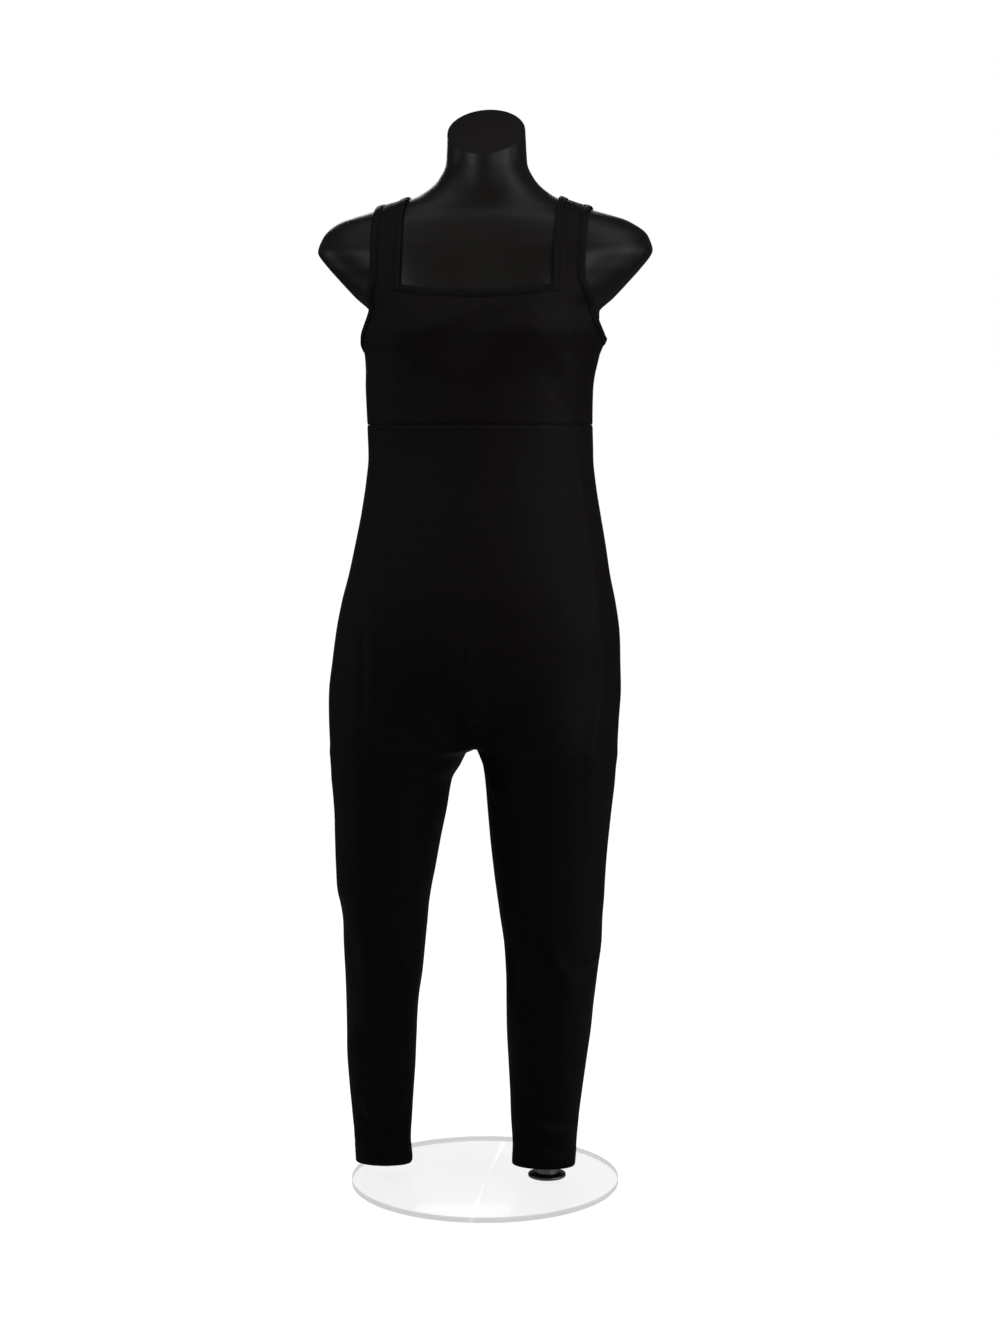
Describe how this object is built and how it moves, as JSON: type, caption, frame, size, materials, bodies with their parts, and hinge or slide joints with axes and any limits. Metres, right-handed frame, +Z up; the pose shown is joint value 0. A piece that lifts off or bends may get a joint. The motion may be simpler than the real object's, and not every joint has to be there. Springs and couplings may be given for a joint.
{
  "type": "unitard on limbless dress form",
  "caption": "Sleeveless square-neck full-length stretch unitard worn by a limbless dress form on a rod stand with a round clear base.",
  "frame": {"origin": "centre of the underside of the base, on the surface that the part stands on", "axes": "+Z up, the front faces -Y, +X is the wearer's left"},
  "size_m": [0.413, 0.34, 1.3526],
  "materials": {
    "jersey": "black nylon and elastane weft-knit jersey, matt with a soft sheen",
    "jersey_band": "the same jersey, folded over the edge and topstitched",
    "form_plastic": "blow-moulded black polyethylene with a satin gloss",
    "rod_steel": "brushed stainless steel",
    "base_glass": "clear tempered glass with a ground and polished edge"
  },
  "bodies": {
    "root": {"lower_front": "jersey", "lower_back": "jersey", "front_bodice": "jersey", "back_bodice": "jersey", "neck_binding": "jersey_band", "armhole_binding_right": "jersey_band", "armhole_binding_left": "jersey_band", "form_body": "form_plastic", "stand_rod": "rod_steel", "stand_socket": "rod_steel", "stand_base": "base_glass"}
  },
  "joints": []
}
